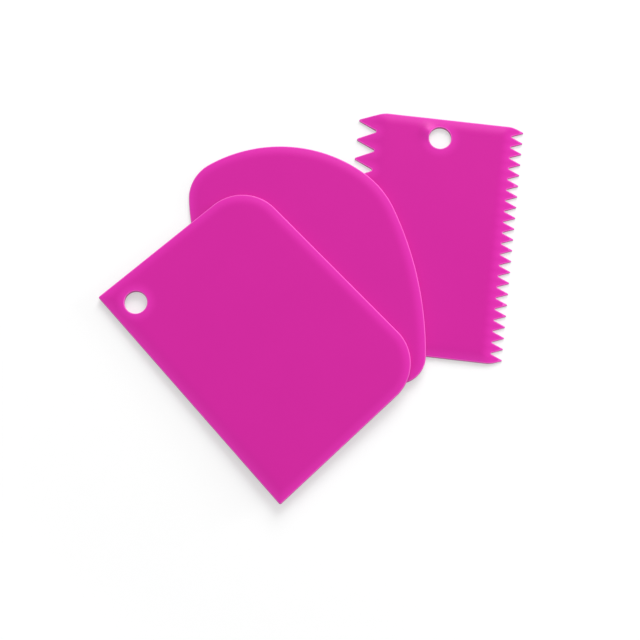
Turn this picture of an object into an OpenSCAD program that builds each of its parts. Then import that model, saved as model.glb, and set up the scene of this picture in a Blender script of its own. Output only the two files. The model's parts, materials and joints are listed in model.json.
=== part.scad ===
// Set of three flat plastic icing smoothers, fanned out on a table.
// The toothed comb lies flat, the bowl scraper leans on the comb with one end on the table,
// and the dough scraper lies on the bowl scraper. Millimetres, +Z up, table top at z = 0.

/* [Plates] */
// Thickness of every plate
plate_t = 1.8; // [1.6:0.1:3]
// Thickness left at a straight or curved scraping edge
rim_t = 1.4; // [0.8:0.1:1.5]
// Thickness left at the tips of the teeth
tip_t = 0.8; // [0.5:0.1:1.3]
// Width of the bevel along the edges, and behind the roots of the teeth
bevel_w = 4; // [2:0.5:6]
// Diameter of the hanging holes
hole_d = 10; // [6:0.5:12]

/* [Decorating comb] */
// Width from the tips of the coarse teeth to the tips of the fine ones
comb_w = 74.2; // [60:0.1:110]
// Length of the comb, along its rows of teeth
comb_l = 109.2; // [90:0.1:150]
// Distance from one fine tooth to the next
fine_pitch = 5; // [3.5:0.1:7]
// Angle between the axis of a fine tooth and its flank
fine_angle = 21.5; // [18:0.5:30]
// Radius at the tips and roots of the fine teeth
fine_r = 0.35; // [0.2:0.05:0.5]
// Distance from one coarse tooth to the next
coarse_pitch = 9.1; // [7:0.1:12]
// Angle between the axis of a coarse tooth and its flank
coarse_angle = 24.5; // [20:0.5:32]
// Radius at the tips and roots of the coarse teeth
coarse_r = 0.65; // [0.3:0.05:0.9]
// Angle between the axis of an end tooth and its outer flank
end_angle = 20.5; // [18:0.5:24]
// Radius of the bend from the outer flank of an end tooth into the plain edge
end_r = 12; // [4:0.5:14]
// Distance from the plain top edge to the centre of the hole
comb_hole_drop = 9; // [8:0.5:30]

/* [Bowl scraper] */
// Radius of the wide corner
bowl_wide_r = 17.5; // [12:0.5:22]
// Radius of the narrow corner
bowl_narrow_r = 12.5; // [9:0.5:16]
// Radius of the crown, next to the wide corner
bowl_crown_r = 63; // [55:0.5:75]
// Radius of the shoulder, between crown and flank
bowl_shoulder_r = 42; // [34:0.5:50]
// Radius of the long flank, next to the narrow corner
bowl_flank_r = 155; // [135:1:180]
// Angle that the crown turns through
bowl_crown_sweep = 67.5; // [62:0.5:72]
// Angle that the shoulder turns through
bowl_shoulder_sweep = 28.5; // [24:0.5:33]
// Angle that the flank turns through
bowl_flank_sweep = 25.5; // [22:0.5:28]

/* [Dough scraper] */
// Length of the straight near edge, corner to corner
dough_w = 121.8; // [100:0.1:140]
// Length of the side with the hole
dough_short_side = 84; // [70:0.1:100]
// Length of the other side
dough_long_side = 88.9; // [75:0.1:105]
// Angle by which each side leans inwards from square
dough_side_angle = 1.6; // [0:0.1:4]
// Radius of the two far corners
dough_far_r = 20; // [10:0.5:28]
// Radius of the two near corners
dough_near_r = 0.8; // [0.4:0.1:3]
// Distance along the near edge from its corner to the centre of the hole
dough_hole_in = 12.9; // [12:0.1:30]
// Distance from the near edge to the centre of the hole
dough_hole_up = 10.9; // [10.5:0.1:30]

/* [Arrangement] */
// Gap left between plates that lie on each other
stack_gap = 0.1; // [0.05:0.05:0.3]
// Turn of the comb about the vertical
comb_turn = -6.65; // [-12:0.05:0]
// Turn of the bowl scraper about the vertical
bowl_turn = -43.95; // [-50:0.05:-38]
// Turn of the dough scraper about the vertical
dough_turn = -48.55; // [-54:0.05:-43]
// Way to the left from the middle of the comb to the centre of the bowl scraper's wide corner
bowl_left = 89.9; // [85:0.1:95]
// Way to the back from the middle of the comb to the centre of the bowl scraper's wide corner
bowl_back = 17.65; // [12:0.05:24]
// Way to the left from the middle of the comb to the middle of the dough scraper's near edge
dough_left = 106.1; // [102:0.1:112]
// Way to the front from the middle of the comb to the middle of the dough scraper's near edge
dough_front = 74.05; // [68:0.05:80]

/* [Hidden] */

// Colour of the moulded plastic
pink = [0.82, 0.18, 0.62];
// Turn from one point of an arc to the next, on outlines and on tooth tips
arc_step = 4;
tip_step = 34;
// Overlap of the solids that are cut away
over = 1;
// Height of the thin layer that carries a bevelled plate's top face
skin = 0.01;
// Segments of a hanging hole
hole_fn = 96;
// Least way from the tip of an end tooth to the plain edge, as a share of the pitch
end_room = 0.3;
// Largest share of an end tooth's outer flank that its bend takes
bend_share = 0.9;

// Unit vector at an angle
function unit(angle) = [cos(angle), sin(angle)];

// Points of an arc from angle a to angle b
function arc(centre, r, a, b, step = arc_step) =
    let (n = max(1, ceil(abs(b - a) / step)))
    [for (i = [0 : n]) centre + r * unit(a + (b - a) * i / n)];

// Turn and place a point of a plate, as a piece is placed on the table
function placed(p, at, turn) = at + [p.x * cos(turn) - p.y * sin(turn), p.x * sin(turn) + p.y * cos(turn)];

// Depth of a row of teeth, from tip to root, with tip and root rounded alike
function tooth_depth(pitch, angle, r) = (pitch / 2 * cos(angle) - 2 * r) / sin(angle) + 2 * r;

// Arc of radius r that rounds corner b of the outline a, b, c
function rounded(a, b, c, r) =
    let (
        u = (a - b) / norm(a - b),
        v = (c - b) / norm(c - b),
        half = acos(u * v) / 2,
        centre = b + (u + v) / norm(u + v) * r / sin(half),
        start = atan2(b.y + u.y * r / tan(half) - centre.y, b.x + u.x * r / tan(half) - centre.x)
    )
    arc(centre, r, start, start + 180 - 2 * half);

// Number of teeth in a row
function tooth_count(pitch) = floor(comb_l / pitch - 2 * end_room) + 1;

// Bend at the upper end of a row, from the outer flank of the end tooth into the plain edge.
// reach is the way along the row from the centre of the tooth to the plain edge.
function end_bend(reach, r) =
    let (
        corner = [(r - reach * cos(end_angle)) / sin(end_angle) - r, comb_l / 2],
        flank = (reach - r * cos(end_angle)) / sin(end_angle),
        bend_r = min(end_r, bend_share * flank / tan(end_angle / 2))
    )
    rounded(corner + [cos(end_angle), -sin(end_angle)], corner, corner - [1, 0], bend_r);

// One row of teeth along +Y, pointing to +X, its tips at x = 0, with its bends into the plain edges
function tooth_row(pitch, angle, r) =
    let (
        depth = tooth_depth(pitch, angle, r),
        n = tooth_count(pitch),
        turn = 90 - angle,
        end_turn = 90 - end_angle,
        bend = end_bend((comb_l - (n - 1) * pitch) / 2, r)
    )
    concat(
        [for (i = [len(bend) - 1 : -1 : 0]) [bend[i].x, -bend[i].y]],
        [for (i = [0 : n - 1])
            let (y = (i - (n - 1) / 2) * pitch)
            each concat(
                arc([-r, y], r, i == 0 ? -end_turn : -turn, i == n - 1 ? end_turn : turn, tip_step),
                i == n - 1 ? [] : arc([r - depth, y + pitch / 2], r, 180 + turn, 180 - turn, tip_step)
            )],
        bend
    );

fine_depth = tooth_depth(fine_pitch, fine_angle, fine_r);
coarse_depth = tooth_depth(coarse_pitch, coarse_angle, coarse_r);

comb_points = concat(
    [for (p = tooth_row(fine_pitch, fine_angle, fine_r)) [p.x + comb_w / 2, p.y]],
    [for (p = tooth_row(coarse_pitch, coarse_angle, coarse_r)) [-p.x - comb_w / 2, -p.y]]
);

// The bowl scraper's outline is a ring of arcs, each tangent to the next, about the wide corner.
// Angles are those of the outward normal where one arc meets the next.
crown_a = 164;
shoulder_a = crown_a - bowl_crown_sweep;
flank_a = shoulder_a - bowl_shoulder_sweep;
narrow_a = flank_a - bowl_flank_sweep;
wide_a = 226.5;
crown_c = (bowl_wide_r - bowl_crown_r) * unit(crown_a);
shoulder_c = crown_c + (bowl_crown_r - bowl_shoulder_r) * unit(shoulder_a);
flank_c = shoulder_c + (bowl_shoulder_r - bowl_flank_r) * unit(flank_a);
narrow_c = flank_c + (bowl_flank_r - bowl_narrow_r) * unit(narrow_a);

// The side under the dough scraper is one arc, tangent to both corners
corner_dr = bowl_wide_r - bowl_narrow_r;
under_extra = (narrow_c * narrow_c - corner_dr * corner_dr) / (2 * (corner_dr - narrow_c * unit(wide_a)));
under_r = bowl_wide_r + under_extra;
under_c = -under_extra * unit(wide_a);
under_end = 360 + atan2(narrow_c.y - under_c.y, narrow_c.x - under_c.x);

bowl_points = concat(
    arc([0, 0], bowl_wide_r, wide_a, crown_a),
    arc(crown_c, bowl_crown_r, crown_a, shoulder_a),
    arc(shoulder_c, bowl_shoulder_r, shoulder_a, flank_a),
    arc(flank_c, bowl_flank_r, flank_a, narrow_a),
    arc(narrow_c, bowl_narrow_r, narrow_a, under_end - 360),
    arc(under_c, under_r, under_end, wide_a)
);

// Corners of the dough scraper, near edge along X and its middle at the origin
dough_corners = [
    [-dough_w / 2, 0],
    [dough_w / 2, 0],
    [dough_w / 2 - dough_long_side * tan(dough_side_angle), dough_long_side],
    [-dough_w / 2 + dough_short_side * tan(dough_side_angle), dough_short_side]
];
dough_radii = [dough_near_r, dough_near_r, dough_far_r, dough_far_r];
dough_points = [for (i = [0 : 3])
    each rounded(dough_corners[(i + 3) % 4], dough_corners[i], dough_corners[(i + 1) % 4], dough_radii[i])];
dough_hole = [dough_hole_in - dough_w / 2, dough_hole_up];

// The bowl scraper leans about a line on the table along the comb's length. Its face meets the
// ridge where the comb's coarse side begins to slope, stack_gap above the comb.
bowl_at = [-bowl_left, bowl_back];
dough_at = [-dough_left, -dough_front];
across = unit(comb_turn);
along = unit(comb_turn + 90);
ridge_s = coarse_depth + bevel_w - comb_w / 2;
low_s = min([for (p = bowl_points) placed(p, bowl_at, bowl_turn) * across]);
lean = atan((plate_t + stack_gap) / (ridge_s - low_s));

// Plan position of a point of a leaning plate, at height z over the leaning face
function leant(p, z) =
    let (s = low_s + (p * across - low_s) * cos(lean) - z * sin(lean))
    s * across + (p * along) * along;

// The model's origin is the middle of the whole set, on the table
dough_z = plate_t + stack_gap;
plan = concat(
    [for (p = comb_points) placed(p, [0, 0], comb_turn)],
    [for (p = bowl_points, z = [0, rim_t]) leant(placed(p, bowl_at, bowl_turn), z)],
    [for (p = dough_points, z = [dough_z, dough_z + rim_t]) leant(placed(p, dough_at, dough_turn), z)]
);
plan_x = [for (p = plan) p.x];
plan_y = [for (p = plan) p.y];
middle = [(min(plan_x) + max(plan_x)) / 2, (min(plan_y) + max(plan_y)) / 2];

// Put a plate in its place on the table
module on_table(at, turn) {
    translate([at.x - middle.x, at.y - middle.y, 0])
        rotate([0, 0, turn])
            children();
}

// Put a plate in its place on the leaning face, at height z over it
module on_lean(at, turn, z) {
    translate([-middle.x, -middle.y, 0])
        rotate([0, 0, comb_turn])
            translate([low_s, 0, 0])
                rotate([0, -lean, 0])
                    translate([-low_s, 0, z])
                        rotate([0, 0, -comb_turn])
                            translate([at.x, at.y, 0])
                                rotate([0, 0, turn])
                                    children();
}

// Convex plate with a flat underside and a bevel all round its top
module bevelled_plate(points) {
    hull() {
        linear_extrude(rim_t)
            polygon(points);
        translate([0, 0, plate_t - skin])
            linear_extrude(skin)
                offset(delta = -bevel_w)
                    polygon(points);
    }
}

module hanging_hole(at) {
    translate([at.x, at.y, -over])
        cylinder(d = hole_d, h = plate_t + 2 * over, $fn = hole_fn);
}

// Profile across the comb: full thickness in the middle, thin at the tips of both rows
module comb_across() {
    rotate([90, 0, 0])
        linear_extrude(comb_l + 2 * over, center = true)
            polygon([
                [-comb_w / 2 - over, 0],
                [comb_w / 2 + over, 0],
                [comb_w / 2 + over, tip_t],
                [comb_w / 2, tip_t],
                [comb_w / 2 - fine_depth - bevel_w, plate_t],
                [ridge_s, plate_t],
                [-comb_w / 2, tip_t],
                [-comb_w / 2 - over, tip_t]
            ]);
}

// Profile along the comb: full thickness in the middle, bevelled at both plain ends
module comb_along() {
    rotate([90, 0, 90])
        linear_extrude(comb_w + 2 * over, center = true)
            polygon([
                [-comb_l / 2, 0],
                [comb_l / 2, 0],
                [comb_l / 2, rim_t],
                [comb_l / 2 - bevel_w, plate_t],
                [bevel_w - comb_l / 2, plate_t],
                [-comb_l / 2, rim_t]
            ]);
}

module decorating_comb() {
    color(pink)
        on_table([0, 0], comb_turn)
            difference() {
                intersection() {
                    linear_extrude(plate_t)
                        polygon(comb_points);
                    comb_across();
                    comb_along();
                }
                hanging_hole([0, comb_l / 2 - comb_hole_drop]);
            }
}

module bowl_scraper() {
    color(pink)
        on_lean(bowl_at, bowl_turn, 0)
            bevelled_plate(bowl_points);
}

module dough_scraper() {
    color(pink)
        on_lean(dough_at, dough_turn, dough_z)
            difference() {
                bevelled_plate(dough_points);
                hanging_hole(dough_hole);
            }
}

decorating_comb();
bowl_scraper();
dough_scraper();
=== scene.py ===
"""A set of three flat pink icing smoothers, fanned out on a white table.

Each plate of the CAD model is replaced by a modelled one of the same outline and place, with
rounded rims, a soft knee where its bevel ends, and the plastic's finish. Outlines are in
millimetres in each plate's own frame, and meshes are in metres in the model's frame.
"""

import json
import math

import bpy
import numpy as np
from mathutils import Matrix, Vector
from mathutils.geometry import delaunay_2d_cdt


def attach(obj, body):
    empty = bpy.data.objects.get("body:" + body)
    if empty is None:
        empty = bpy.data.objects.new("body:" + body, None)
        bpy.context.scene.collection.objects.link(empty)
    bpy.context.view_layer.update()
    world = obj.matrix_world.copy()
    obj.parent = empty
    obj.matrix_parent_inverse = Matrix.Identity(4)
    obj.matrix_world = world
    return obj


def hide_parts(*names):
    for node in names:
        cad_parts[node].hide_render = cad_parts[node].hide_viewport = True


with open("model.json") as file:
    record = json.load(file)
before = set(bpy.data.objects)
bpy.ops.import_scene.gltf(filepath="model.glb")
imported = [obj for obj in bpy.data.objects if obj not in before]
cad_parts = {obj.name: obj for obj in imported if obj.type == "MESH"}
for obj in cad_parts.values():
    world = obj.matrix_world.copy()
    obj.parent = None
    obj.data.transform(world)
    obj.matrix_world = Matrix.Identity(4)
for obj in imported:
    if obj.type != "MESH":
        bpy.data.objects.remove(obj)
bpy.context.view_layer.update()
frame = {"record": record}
MM = 0.001

# Every plate, as in the CAD model
PLATE_T = 1.8  # thickness of the face
RIM_T = 1.4  # thickness at plain and curved edges
TIP_T = 0.8  # thickness at the tips of the teeth
BEVEL_W = 4.0
HOLE_R = 5.0
STACK_GAP = 0.1  # between plates that lie on each other

# Decorating comb
COMB_W = 74.2  # across the tips of the teeth
COMB_L = 109.2  # along the rows of teeth
# Teeth: pitch, angle between axis and flank, radius at tips and roots
FINE = {"pitch": 5.0, "angle": 21.5, "r": 0.35}
COARSE = {"pitch": 9.1, "angle": 24.5, "r": 0.65}
END_ANGLE = 20.5  # between the axis of an end tooth and its outer flank
END_R = 12.0  # bend from that flank into the plain edge
END_ROOM = 0.3  # least way from an end tooth's tip to the plain edge, as a share of the pitch
BEND_SHARE = 0.9  # largest share of the outer flank that the bend takes
COMB_HOLE_DROP = 9.0  # from the top edge to the hole's centre

# Low round mark of the moulding gate by the comb's hole, about the comb's middle
GATE_AT = np.array([-5.4, 47.6])
GATE_RISE = 0.65
GATE_SPREAD = 2.1

# Bowl scraper: radii of its two corners and of the arcs between them, and how far those turn
WIDE_R = 17.5
NARROW_R = 12.5
CROWN_R = 63.0
SHOULDER_R = 42.0
FLANK_R = 155.0
CROWN_SWEEP = 67.5
SHOULDER_SWEEP = 28.5
FLANK_SWEEP = 25.5
CROWN_A = 164.0  # outward direction where the wide corner meets the crown
WIDE_A = 226.5  # outward direction where the wide corner meets the hidden side

# Dough scraper
DOUGH_W = 121.8  # straight near edge, corner to corner
SHORT_SIDE = 84.0  # side with the hole
LONG_SIDE = 88.9
SIDE_ANGLE = 1.6  # by which each side leans in
FAR_R = 20.0  # corners of the far edge
NEAR_R = 0.8  # corners of the near edge
DOUGH_HOLE_IN = 12.9  # from the corner to the hole's centre, along the near edge
DOUGH_HOLE_UP = 10.9  # from the near edge to the hole's centre

# Arrangement: the turn of each plate, and where its own origin lies from the middle of the comb
COMB_TURN = -6.65
BOWL_TURN = -43.95
DOUGH_TURN = -48.55
BOWL_AT = np.array([-89.9, 17.65])
DOUGH_AT = np.array([-106.1, -74.05])

# Finer rounding that the CAD plates leave out
EDGE_R = 0.4  # upper rims of both scrapers
TOOTH_EDGE_R = 0.2  # upper rims of the comb
FOOT_R = 0.12  # lower rims
KNEE = 0.18  # between bevel and face

# Steps along outlines, in degrees or as counts
ARC_STEP = 1.5
TIP_STEP = 17.0
FILLET_STEPS = 4
HOLE_STEPS = 96
LONGEST_EDGE = 2.0

# Points inside the outlines: rows that carry the bevel and its knee, rows round a hole, and grids
RING_INSETS = [0.6, 1.0, 1.5, 2.1, 2.7, 3.2, 3.6, 4.0, 4.4, 4.9, 5.6]
HOLE_INSETS = [0.7, 1.2, 1.9, 2.7, 3.6, 4.6]
HOLE_SPOKES = 72  # points in each row round a hole
WIDE_GRID = 5.0  # scrapers
TOOTH_GRID = 0.8  # comb, along its teeth
MIDDLE_GRID = 2.2  # comb, between its bevels
TOOTH_MARGIN = 2.0  # from the comb's bevel to where its grid widens

# Least ways between points
SAME_POINT = 1e-4  # along an outline
MERGE = 1e-6  # in the triangulation
INSET_SLACK = 0.01  # that a row may lie nearer to the outline than its inset
COMB_CLEAR = 0.45  # from the comb's outline to its grid
RIM_CLEAR = 0.4  # from a rounded rim to the rows round a hole
HOLE_CLEAR = 0.5  # from those rows to all other points


def unit(angle):
    """Unit vector at an angle in degrees."""
    return np.array([math.cos(math.radians(angle)), math.sin(math.radians(angle))])


def arc(centre, r, a, b, step=ARC_STEP):
    """Points of an arc from angle a to angle b."""
    n = max(1, math.ceil(abs(b - a) / step))
    return [np.asarray(centre) + r * unit(a + (b - a) * i / n) for i in range(n + 1)]


def rounded(a, b, c, r):
    """Arc of radius r that rounds corner b of the outline a, b, c."""
    u = (a - b) / np.linalg.norm(a - b)
    v = (c - b) / np.linalg.norm(c - b)
    half = math.acos(u @ v) / 2
    centre = b + (u + v) / np.linalg.norm(u + v) * r / math.sin(half)
    first = b + u * r / math.tan(half) - centre
    start = math.degrees(math.atan2(first[1], first[0]))
    return arc(centre, r, start, start + 180 - 2 * math.degrees(half))


def tooth_depth(pitch, angle, r):
    """Depth of a row of teeth, from tip to root."""
    a = math.radians(angle)
    return (pitch / 2 * math.cos(a) - 2 * r) / math.sin(a) + 2 * r


def end_bend(reach, r):
    """Bend from the outer flank of an upper end tooth into the plain edge."""
    a = math.radians(END_ANGLE)
    corner = np.array([(r - reach * math.cos(a)) / math.sin(a) - r, COMB_L / 2])
    flank = (reach - r * math.cos(a)) / math.sin(a)
    bend_r = min(END_R, BEND_SHARE * flank / math.tan(a / 2))
    return rounded(corner + unit(-END_ANGLE), corner, corner - np.array([1, 0]), bend_r)


def tooth_row(pitch, angle, r):
    """Row of teeth along +Y, pointing to +X, tips at x = 0, with its bends into the plain edges."""
    depth = tooth_depth(pitch, angle, r)
    n = math.floor(COMB_L / pitch - 2 * END_ROOM) + 1
    turn = 90 - angle
    end_turn = 90 - END_ANGLE
    bend = end_bend((COMB_L - (n - 1) * pitch) / 2, r)
    points = [np.array([p[0], -p[1]]) for p in reversed(bend)]
    for i in range(n):
        y = (i - (n - 1) / 2) * pitch
        low = end_turn if i == 0 else turn
        high = end_turn if i == n - 1 else turn
        points += arc([-r, y], r, -low, high, TIP_STEP)
        if i < n - 1:
            points += arc([r - depth, y + pitch / 2], r, 180 + turn, 180 - turn, TIP_STEP)
    return np.array(points + bend)


def comb_outline():
    """Outline of the comb about its middle: fine teeth at +X, coarse teeth at -X."""
    fine = tooth_row(**FINE) + [COMB_W / 2, 0]
    coarse = -tooth_row(**COARSE) - [COMB_W / 2, 0]
    return np.vstack([fine, coarse])


def bowl_outline():
    """Outline of the bowl scraper: a ring of tangent arcs, about the centre of its wide corner."""
    shoulder_a = CROWN_A - CROWN_SWEEP
    flank_a = shoulder_a - SHOULDER_SWEEP
    narrow_a = flank_a - FLANK_SWEEP
    crown_c = (WIDE_R - CROWN_R) * unit(CROWN_A)
    shoulder_c = crown_c + (CROWN_R - SHOULDER_R) * unit(shoulder_a)
    flank_c = shoulder_c + (SHOULDER_R - FLANK_R) * unit(flank_a)
    narrow_c = flank_c + (FLANK_R - NARROW_R) * unit(narrow_a)
    corner_dr = WIDE_R - NARROW_R
    extra = (narrow_c @ narrow_c - corner_dr ** 2) / (2 * (corner_dr - narrow_c @ unit(WIDE_A)))
    under_c = -extra * unit(WIDE_A)
    to_narrow = narrow_c - under_c
    under_end = math.degrees(math.atan2(to_narrow[1], to_narrow[0]))
    points = (
        arc([0, 0], WIDE_R, WIDE_A, CROWN_A)
        + arc(crown_c, CROWN_R, CROWN_A, shoulder_a)
        + arc(shoulder_c, SHOULDER_R, shoulder_a, flank_a)
        + arc(flank_c, FLANK_R, flank_a, narrow_a)
        + arc(narrow_c, NARROW_R, narrow_a, under_end)
        + arc(under_c, WIDE_R + extra, under_end + 360, WIDE_A)
    )
    return np.array(points[::-1])


def dough_outline():
    """Outline of the dough scraper: near edge along X, its middle at the origin."""
    lean_in = math.tan(math.radians(SIDE_ANGLE))
    corners = [
        np.array([-DOUGH_W / 2, 0]),
        np.array([DOUGH_W / 2, 0]),
        np.array([DOUGH_W / 2 - LONG_SIDE * lean_in, LONG_SIDE]),
        np.array([-DOUGH_W / 2 + SHORT_SIDE * lean_in, SHORT_SIDE]),
    ]
    radii = [NEAR_R, NEAR_R, FAR_R, FAR_R]
    points = []
    for i in range(4):
        points += rounded(corners[i - 1], corners[i], corners[(i + 1) % 4], radii[i])
    return np.array(points)


def tidy_loop(points):
    """A closed outline without points that repeat."""
    kept = [p for i, p in enumerate(points) if np.linalg.norm(p - points[i - 1]) > SAME_POINT]
    return np.array(kept)


def split_long(points):
    """A closed outline with its long straight stretches split."""
    out = []
    for i, a in enumerate(points):
        b = points[(i + 1) % len(points)]
        n = max(1, math.ceil(np.linalg.norm(b - a) / LONGEST_EDGE))
        out += [a + (b - a) * k / n for k in range(n)]
    return np.array(out)


def inward(points):
    """Inward vector at each point of a loop with its solid on the left, for a mitred inset."""
    along = np.roll(points, -1, 0) - points
    along /= np.linalg.norm(along, axis=1)[:, None]
    left = np.column_stack([-along[:, 1], along[:, 0]])
    both = left + np.roll(left, 1, 0)
    return 2 * both / (both * both).sum(1)[:, None]


def distance(points, loop):
    """Distance from each point to a closed outline."""
    best = np.full(len(points), np.inf)
    for a, b in zip(loop, np.roll(loop, -1, 0)):
        ab = b - a
        t = np.clip(((points - a) @ ab) / (ab @ ab), 0, 1)
        gap = points - (a + t[:, None] * ab)
        best = np.minimum(best, (gap * gap).sum(1))
    return np.sqrt(best)


def inside(points, loop):
    """Whether each point lies inside a closed outline."""
    found = np.zeros(len(points), bool)
    for a, b in zip(loop, np.roll(loop, -1, 0)):
        crosses = (a[1] > points[:, 1]) != (b[1] > points[:, 1])
        if a[1] != b[1]:
            x = a[0] + (points[:, 1] - a[1]) * (b[0] - a[0]) / (b[1] - a[1])
            found ^= crosses & (points[:, 0] < x)
    return found


def soft_min(a, b):
    """The lower of two heights, with a rounded knee between them."""
    h = np.clip(0.5 + 0.5 * (b - a) / KNEE, 0, 1)
    return b + (a - b) * h - KNEE * h * (1 - h)


def bevel_height(d):
    """Height of a bevelled plate at distance d from its outline."""
    return soft_min(RIM_T + (PLATE_T - RIM_T) * d / BEVEL_W, np.full_like(d, PLATE_T))


def comb_height(points):
    """Height of the comb: it thins towards its teeth and plain edges, and has the gate mark."""
    x, y = points[:, 0], points[:, 1]
    rise = PLATE_T - TIP_T
    fine = TIP_T + rise * (COMB_W / 2 - x) / (tooth_depth(**FINE) + BEVEL_W)
    coarse = TIP_T + rise * (COMB_W / 2 + x) / (tooth_depth(**COARSE) + BEVEL_W)
    ends = RIM_T + (PLATE_T - RIM_T) * (COMB_L / 2 - abs(y)) / BEVEL_W
    flat = np.full_like(x, PLATE_T)
    gate = GATE_RISE * np.exp(-((points - GATE_AT) ** 2).sum(1) / (2 * GATE_SPREAD ** 2))
    return soft_min(soft_min(fine, coarse), soft_min(ends, flat)) + gate


def slope_normals(height, points, step=0.02):
    """Upward normals of a height field, by its differences over a small step."""
    dx = (height(points + [step, 0]) - height(points - [step, 0])) / (2 * step)
    dy = (height(points + [0, step]) - height(points - [0, step])) / (2 * step)
    n = np.column_stack([-dx, -dy, np.ones(len(points))])
    return n / np.linalg.norm(n, axis=1)[:, None]


def hole_loop(centre):
    """Loop round a hole, with the plate on its left."""
    return np.array([centre + HOLE_R * unit(-360 * i / HOLE_STEPS) for i in range(HOLE_STEPS)])


def skirt(loop, height, edge_r):
    """Rings of points, heights and normals from the underside round the rim to the top."""
    toward = inward(loop)
    out = -toward / np.linalg.norm(toward, axis=1)[:, None]
    rings = []
    for i in range(FILLET_STEPS + 1):
        b = math.pi / 2 * (1 - i / FILLET_STEPS)
        at = loop + toward * FOOT_R * (1 - math.cos(b))
        z = np.full(len(loop), FOOT_R * (1 - math.sin(b)))
        normal = np.column_stack([out * math.cos(b), np.full(len(loop), -math.sin(b))])
        rings.append((at, z, normal))
    for i in range(FILLET_STEPS + 1):
        a = math.pi / 2 * i / FILLET_STEPS
        at = loop + toward * edge_r * (1 - math.cos(a))
        z = height(at) - edge_r * (1 - math.sin(a))
        flat_out = np.column_stack([out, np.zeros(len(loop))])
        normal = flat_out * math.cos(a) + slope_normals(height, at) * math.sin(a)
        rings.append((at, z, normal))
    return rings


def walls(loops, height, edge_r):
    """Points, normals and faces of all skirts, the ids of their lowest and top rings, the tops."""
    verts, normals, faces, low_ids, top_ids, tops = [], [], [], [], [], []
    count = 0
    for loop in loops:
        rings = skirt(loop, height, edge_r)
        n = len(loop)
        for at, z, normal in rings:
            verts.append(np.column_stack([at, z]))
            normals.append(normal)
        for k in range(len(rings) - 1):
            low, high = count + k * n, count + (k + 1) * n
            faces += [(low + i, low + (i + 1) % n, high + (i + 1) % n, high + i) for i in range(n)]
        low_ids += range(count, count + n)
        top_ids += range(high, high + n)
        tops.append(rings[-1][0])
        count += len(rings) * n
    return verts, normals, faces, low_ids, top_ids, tops


def triangles(loops, free):
    """Triangles over the first loop and the free points, without those inside the second loop."""
    edges, count = [], 0
    for loop in loops:
        n = len(loop)
        edges += [(count + i, count + (i + 1) % n) for i in range(n)]
        count += n
    points = [Vector(p) for p in np.vstack(loops + [free])]
    found = delaunay_2d_cdt(points, edges, [], 1, MERGE)
    source = [ids[0] for ids in found[3]]
    every = [[source[i] for i in tri] for tri in found[2]]
    return [ids for ids in every if not all(len(loops[0]) <= i < count for i in ids)]


def mesh_piece(name, verts, normals, faces, rim, matrix):
    """Smooth mesh object in its place. It keeps each point's distance from the rim, in mm."""
    place = np.array(matrix)
    world = (verts * MM) @ place[:3, :3].T + place[:3, 3]
    turned_normals = normals @ place[:3, :3].T
    mesh = bpy.data.meshes.new(name)
    mesh.from_pydata([tuple(v) for v in world], [], faces)
    mesh.polygons.foreach_set("use_smooth", [True] * len(mesh.polygons))
    layer = mesh.attributes.new("rim_mm", "FLOAT", "POINT")
    layer.data.foreach_set("value", rim.astype(np.float32))
    mesh.normals_split_custom_set_from_vertices([tuple(v) for v in turned_normals])
    mesh.validate()
    piece = bpy.data.objects.new(name, mesh)
    bpy.context.scene.collection.objects.link(piece)
    return piece


def plate(name, outline, height, free, matrix, edge_r, hole=None):
    """Closed plate: a skirt round each loop, a top that follows height, a flat underside."""
    loops = [outline] if hole is None else [outline, hole_loop(hole)]
    verts, normals, faces, low_ids, top_ids, tops = walls(loops, height, edge_r)
    count, more = sum(map(len, verts)), len(free)
    top_ids += range(count, count + more)
    low_ids += range(count + more, count + 2 * more)
    verts += [np.column_stack([free, height(free)]), np.column_stack([free, np.zeros(more)])]
    normals += [slope_normals(height, free), np.tile([0.0, 0.0, -1.0], (more, 1))]
    for ids in triangles(tops, free):
        faces.append(tuple(top_ids[i] for i in ids))
        faces.append(tuple(low_ids[i] for i in reversed(ids)))
    verts, normals = np.vstack(verts), np.vstack(normals)
    rim = np.min([distance(verts[:, :2], loop) for loop in loops], axis=0)
    return mesh_piece(name, verts, normals, faces, rim, matrix)


def around_hole(hole, outline, edge_r):
    """Rows of points round a hole, clear of the outline."""
    spokes = np.array([unit(360 * i / HOLE_SPOKES) for i in range(HOLE_SPOKES)])
    points = np.vstack([hole + (HOLE_R + d) * spokes for d in HOLE_INSETS])
    return points[inside(points, outline) & (distance(points, outline) > edge_r + RIM_CLEAR)]


def grid(xs, ys):
    """All points of a grid."""
    return np.array([(x, y) for x in xs for y in ys], float)


def clear_of_hole(points, hole):
    """The points that lie outside the rows round a hole."""
    taken = HOLE_R + HOLE_INSETS[-1] + HOLE_CLEAR
    return points[np.linalg.norm(points - hole, axis=1) > taken]


def bevelled_points(outline, hole=None, corners=()):
    """Free points of a convex bevelled plate: rows along its bevel, then a wide grid.

    corners gives the centre, radius and inward vector of each sharp corner.
    """
    toward = inward(outline)
    rows = []
    for d in RING_INSETS:
        row = outline + toward * d
        rows.append(row[inside(row, outline) & (distance(row, outline) > d - INSET_SLACK)])
        rows += [np.array([centre + step * (d - r)]) for centre, r, step in corners if d > r]
    low, high = outline.min(0), outline.max(0)
    wide = grid(np.arange(low[0], high[0], WIDE_GRID), np.arange(low[1], high[1], WIDE_GRID))
    clear = RING_INSETS[-1] + WIDE_GRID / 2
    rows.append(wide[inside(wide, outline) & (distance(wide, outline) > clear)])
    points = np.vstack(rows)
    if hole is not None:
        points = np.vstack([clear_of_hole(points, hole), around_hole(hole, outline, EDGE_R)])
    return points


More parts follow.
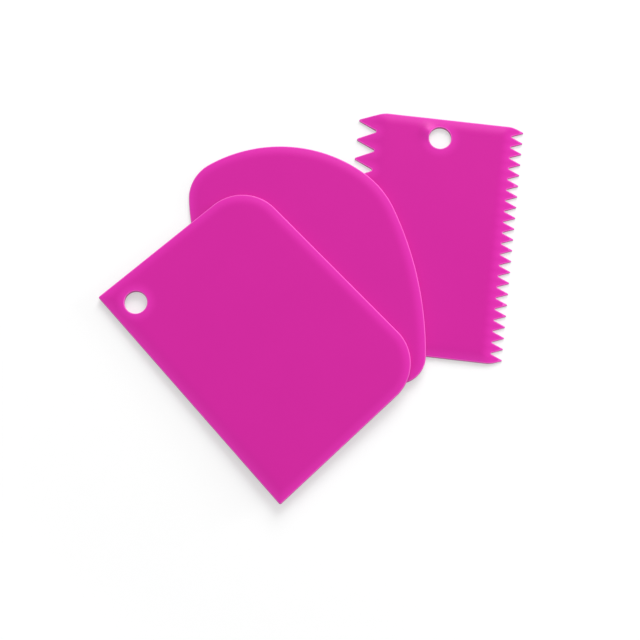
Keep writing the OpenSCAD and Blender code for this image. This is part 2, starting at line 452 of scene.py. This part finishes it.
def comb_points(outline, hole):
    """Free points of the comb: close rows along both sides, wide ones between."""
    left = tooth_depth(**COARSE) + BEVEL_W + TOOTH_MARGIN - COMB_W / 2
    right = COMB_W / 2 - tooth_depth(**FINE) - BEVEL_W - TOOTH_MARGIN
    xs = np.concatenate([
        np.arange(-COMB_W / 2, left, TOOTH_GRID),
        np.linspace(left, right, round((right - left) / MIDDLE_GRID)),
        np.arange(right + TOOTH_GRID, COMB_W / 2, TOOTH_GRID),
    ])
    ys = np.linspace(-COMB_L / 2, COMB_L / 2, round(COMB_L / TOOTH_GRID))
    points = grid(xs, ys)
    points = points[inside(points, outline) & (distance(points, outline) > COMB_CLEAR)]
    return np.vstack([clear_of_hole(points, hole), around_hole(hole, outline, TOOTH_EDGE_R)])


# Places of the plates. All are taken from the middle of the comb's underside.
mounts = {m["name"]: m for m in frame["record"]["mounts"]}
comb_middle = Vector(mounts["comb_underside"]["pos_m"])


def rotation(degrees, axis):
    """Turn about an axis of the frame."""
    return Matrix.Rotation(math.radians(degrees), 4, axis)


def shift(x, y, z=0.0):
    """Move by millimetres."""
    return Matrix.Translation(Vector((x, y, z)) * MM)


def turned(points, at, turn):
    """Points of a plate as it lies on the table, about the middle of the comb."""
    c, s = unit(turn)
    return np.asarray(at) + points @ np.array([[c, s], [-s, c]])


comb_loop = tidy_loop(comb_outline())
bowl_loop = tidy_loop(bowl_outline())
dough_loop = tidy_loop(dough_outline())

# The bowl scraper leans on the comb's ridge behind the coarse teeth, and its far end on the table.
# Both are measured across the comb, from its middle.
ridge_s = tooth_depth(**COARSE) + BEVEL_W - COMB_W / 2
low_s = (turned(bowl_loop, BOWL_AT, BOWL_TURN) @ unit(COMB_TURN)).min()
lean = math.degrees(math.atan((PLATE_T + STACK_GAP) / (ridge_s - low_s)))


def on_table(turn):
    """Place of a plate that lies flat on the table."""
    return Matrix.Translation(comb_middle) @ rotation(turn, "Z")


def on_lean(at, turn, z):
    """Place of a plate that leans as the bowl scraper does, at height z over its underside."""
    tilt = shift(low_s, 0) @ rotation(-lean, "Y") @ shift(-low_s, 0, z)
    leaning = on_table(COMB_TURN) @ tilt @ rotation(-COMB_TURN, "Z")
    return leaning @ shift(*at) @ rotation(turn, "Z")


def near_corners():
    """Centre, radius and inward step of the dough scraper's two sharp corners."""
    found = []
    for side in (-1, 1):
        half = math.radians(90 - SIDE_ANGLE) / 2
        inward_a = 90 + side * math.degrees(math.pi / 2 - half)
        step = unit(inward_a) / math.sin(half)
        found.append((np.array([side * DOUGH_W / 2, 0]) + step * NEAR_R, NEAR_R, step))
    return found


def bevel_over(loop):
    """Height of a bevelled plate as a function of the place on it."""
    return lambda points: bevel_height(distance(points, loop))


comb_hole = np.array([0, COMB_L / 2 - COMB_HOLE_DROP])
comb_edge = split_long(comb_loop)
comb = plate("comb_plate", comb_edge, comb_height, comb_points(comb_edge, comb_hole),
             on_table(COMB_TURN), TOOTH_EDGE_R, comb_hole)

bowl = plate("bowl_plate", bowl_loop, bevel_over(bowl_loop), bevelled_points(bowl_loop),
             on_lean(BOWL_AT, BOWL_TURN, 0), EDGE_R)

dough_hole = np.array([DOUGH_HOLE_IN - DOUGH_W / 2, DOUGH_HOLE_UP])
dough_edge = split_long(dough_loop)
dough = plate("dough_plate", dough_edge, bevel_over(dough_edge),
              bevelled_points(dough_edge, dough_hole, near_corners()),
              on_lean(DOUGH_AT, DOUGH_TURN, PLATE_T + STACK_GAP), EDGE_R, dough_hole)


# Plastic. Colours are in linear light, and noise scales are per metre. Bands along the rim lie
# over each other: colour, then the distances in mm up to which it is full and at which it is gone.
PINK_DEEP = (0.62, 0.003, 0.325, 1)
PINK_LIGHT = (0.65, 0.005, 0.343, 1)
CLOUD_SCALE = 30.0
# Painted glow: lighter pink out to 5 mm from the rim, painted in for light coming through the thin
# plastic
PAINTED_GLOW_BAND = ((0.735, 0.016, 0.42, 1), 0.0, 5.0)
# Painted highlight: a pale line on the rounded rims, painted in for the highlight they catch
PAINTED_HIGHLIGHT_BAND = ((0.86, 0.10, 0.56, 1), 0.2, 0.65)
# Painted shade: darker side walls, painted in to deepen the shade at the plates' edges
PAINTED_SHADE_BAND = ((0.55, 0.003, 0.29, 1), 0.0, 0.05)
PLASTIC_IOR = 1.49
PLASTIC_SPECULAR = 0.36
ROUGH_LOW = 0.285
ROUGH_HIGH = 0.335
GRAIN_SCALE = 2500.0
GRAIN_STRENGTH = 0.08
GRAIN_DEPTH = 0.05 * MM


def node(tree, kind, **settings):
    """New shader node with its settings, and its inputs given by name in a dict."""
    made = tree.nodes.new(kind)
    for key, value in settings.items():
        if key == "inputs":
            for name, v in value.items():
                made.inputs[name].default_value = v
        else:
            setattr(made, key, value)
    return made


def near_rim(tree, rim, under, colour, start, end):
    """Colour that covers the one under it from the rim to start, and has faded away at end."""
    share = node(tree, "ShaderNodeMapRange", interpolation_type="SMOOTHSTEP",
                 inputs={"From Min": start, "From Max": end, "To Min": 1.0, "To Max": 0.0})
    tree.links.new(rim, share.inputs["Value"])
    over = node(tree, "ShaderNodeMix", data_type="RGBA")
    over.inputs["B"].default_value = colour
    tree.links.new(share.outputs["Result"], over.inputs["Factor"])
    tree.links.new(under, over.inputs["A"])
    return over.outputs["Result"]


def pink_plastic():
    """Satin polypropylene: deep pink, with a painted glow, highlight and shade at its rims."""
    material = bpy.data.materials.new("pink_plastic")
    material.use_nodes = True
    tree = material.node_tree
    link = tree.links.new
    shader = tree.nodes["Principled BSDF"]
    shader.inputs["IOR"].default_value = PLASTIC_IOR
    shader.inputs["Specular IOR Level"].default_value = PLASTIC_SPECULAR

    place = node(tree, "ShaderNodeTexCoord")
    cloud = node(tree, "ShaderNodeTexNoise", inputs={"Scale": CLOUD_SCALE, "Detail": 3.0})
    link(place.outputs["Object"], cloud.inputs["Vector"])
    body = node(tree, "ShaderNodeMix", data_type="RGBA")
    body.inputs["A"].default_value = PINK_DEEP
    body.inputs["B"].default_value = PINK_LIGHT
    link(cloud.outputs["Fac"], body.inputs["Factor"])
    rim = node(tree, "ShaderNodeAttribute", attribute_name="rim_mm").outputs["Fac"]
    colour = body.outputs["Result"]
    # The rim bands paint light: a glow through the thin rim, a highlight on it, shade on the wall
    for band in (PAINTED_GLOW_BAND, PAINTED_HIGHLIGHT_BAND, PAINTED_SHADE_BAND):
        colour = near_rim(tree, rim, colour, *band)
    link(colour, shader.inputs["Base Color"])

    rough = node(tree, "ShaderNodeMapRange", inputs={"To Min": ROUGH_LOW, "To Max": ROUGH_HIGH})
    link(cloud.outputs["Fac"], rough.inputs["Value"])
    link(rough.outputs["Result"], shader.inputs["Roughness"])
    grain = node(tree, "ShaderNodeTexNoise", inputs={"Scale": GRAIN_SCALE, "Detail": 2.0})
    link(place.outputs["Object"], grain.inputs["Vector"])
    bump = node(tree, "ShaderNodeBump",
                inputs={"Strength": GRAIN_STRENGTH, "Distance": GRAIN_DEPTH})
    link(grain.outputs["Fac"], bump.inputs["Height"])
    link(bump.outputs["Normal"], shader.inputs["Normal"])
    return material


pink = pink_plastic()
for piece, body, cad_node in ((comb, "comb_body", "decorating_comb"),
                              (bowl, "bowl_body", "bowl_scraper"),
                              (dough, "dough_body", "dough_scraper")):
    piece.data.materials.append(pink)
    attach(piece, body)
    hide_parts(cad_node)


# Table and background. The table shows its shadows fully up to FADE_FROM from the middle of the
# frame, in metres, and is plain white from FADE_TO on. The fill light grows from below to above.
WHITE = (1, 1, 1, 1)
TABLE_GREY = (0.55, 0.55, 0.55, 1)
TABLE_ROUGH = 0.9
TABLE_SIZE = 4.0
TABLE_LIFT = 0.47
FADE_FROM = 0.13
FADE_TO = 0.5
FILL_LOW = 0.12
FILL_HIGH = 0.62


def seen_directly(tree):
    """1 for camera, glossy and transmission rays, and 0 for the rays that light the object."""
    path = node(tree, "ShaderNodeLightPath")
    found = path.outputs["Is Camera Ray"]
    for name in ("Is Glossy Ray", "Is Transmission Ray"):
        larger = node(tree, "ShaderNodeMath", operation="MAXIMUM")
        tree.links.new(found, larger.inputs[0])
        tree.links.new(path.outputs[name], larger.inputs[1])
        found = larger.outputs["Value"]
    return found


def table():
    """Wide white table top, which keeps soft shadows near the object and fades to plain white."""
    bpy.ops.mesh.primitive_plane_add(size=TABLE_SIZE, location=(0, 0, 0))
    top = bpy.context.object
    top.name = "table_top"
    material = bpy.data.materials.new("table_white")
    material.use_nodes = True
    tree = material.node_tree
    link = tree.links.new
    shader = tree.nodes["Principled BSDF"]
    shader.inputs["Base Color"].default_value = TABLE_GREY
    shader.inputs["Roughness"].default_value = TABLE_ROUGH
    shader.inputs["Specular IOR Level"].default_value = 0.0
    shader.inputs["Emission Color"].default_value = WHITE
    place = node(tree, "ShaderNodeTexCoord")
    far = node(tree, "ShaderNodeVectorMath", operation="LENGTH")
    link(place.outputs["Object"], far.inputs["Vector"])
    fade = node(tree, "ShaderNodeMapRange", interpolation_type="SMOOTHSTEP",
                inputs={"From Min": FADE_FROM, "From Max": FADE_TO,
                        "To Min": TABLE_LIFT, "To Max": 1.0})
    link(far.outputs["Value"], fade.inputs["Value"])
    lift = node(tree, "ShaderNodeMath", operation="MULTIPLY")
    link(seen_directly(tree), lift.inputs[0])
    link(fade.outputs["Result"], lift.inputs[1])
    link(lift.outputs["Value"], shader.inputs["Emission Strength"])
    top.data.materials.append(material)


def background():
    """White behind the table, and a soft fill light that is strongest overhead."""
    world = bpy.data.worlds.new("studio")
    world.use_nodes = True
    tree = world.node_tree
    link = tree.links.new
    fill = tree.nodes["Background"]
    place = node(tree, "ShaderNodeTexCoord")
    split = node(tree, "ShaderNodeSeparateXYZ")
    level = node(tree, "ShaderNodeMapRange", inputs={"To Min": FILL_LOW, "To Max": FILL_HIGH})
    link(place.outputs["Generated"], split.inputs["Vector"])
    link(split.outputs["Z"], level.inputs["Value"])
    link(level.outputs["Result"], fill.inputs["Strength"])
    fill.inputs["Color"].default_value = WHITE
    white = node(tree, "ShaderNodeBackground", inputs={"Color": WHITE, "Strength": 1.0})
    mix = node(tree, "ShaderNodeMixShader")
    link(seen_directly(tree), mix.inputs["Fac"])
    link(fill.outputs["Background"], mix.inputs[1])
    link(white.outputs["Background"], mix.inputs[2])
    link(mix.outputs["Shader"], tree.nodes["World Output"].inputs["Surface"])
    bpy.context.scene.world = world


def softbox(name, azimuth, elevation, far, size, watts, lights=True, shines=True):
    """Square area lamp that faces the middle of the table. Azimuth 0 is +X, 90 is +Y.

    One that lights but doesn't shine isn't mirrored in the plastic, which would lose its colour
    in low views towards the lamp. One that shines but doesn't light makes only highlights.
    """
    a, e = math.radians(azimuth), math.radians(elevation)
    at = Vector((math.cos(a) * math.cos(e), math.sin(a) * math.cos(e), math.sin(e))) * far
    data = bpy.data.lights.new(name, "AREA")
    data.shape = "SQUARE"
    data.size = size
    data.energy = watts
    lamp = bpy.data.objects.new(name, data)
    lamp.location = at
    lamp.rotation_euler = (-at).to_track_quat("-Z", "Y").to_euler()
    lamp.visible_diffuse = lights
    lamp.visible_glossy = shines
    bpy.context.scene.collection.objects.link(lamp)


table()
background()
softbox("key_lamp", azimuth=75, elevation=33, far=3.5, size=2.3, watts=122.0, shines=False)
softbox("key_gloss", azimuth=78, elevation=46, far=3.0, size=0.9, watts=12.0, lights=False)
softbox("rim_lamp", azimuth=18, elevation=9, far=2.4, size=0.5, watts=26.0, shines=False)


# Camera: as the photograph, 12 degrees off straight above, towards the viewer
TILT = 12.0
FOCAL_PX = 1574.0
PHOTO_PX = 640.0
SENSOR = 36.0
LOOK_AT = Vector((2.80, -6.98, 0)) * MM
CAMERA_FAR = 693.1 * MM

camera = bpy.data.objects.new("camera", bpy.data.cameras.new("camera"))
camera.data.sensor_width = SENSOR
camera.data.lens = FOCAL_PX / PHOTO_PX * SENSOR
tilt_rad = math.radians(TILT)
camera.location = LOOK_AT + Vector((0, -math.sin(tilt_rad), math.cos(tilt_rad))) * CAMERA_FAR
camera.rotation_euler = (tilt_rad, 0, 0)
bpy.context.scene.collection.objects.link(camera)
bpy.context.scene.camera = camera
bpy.context.scene.view_settings.view_transform = "Standard"
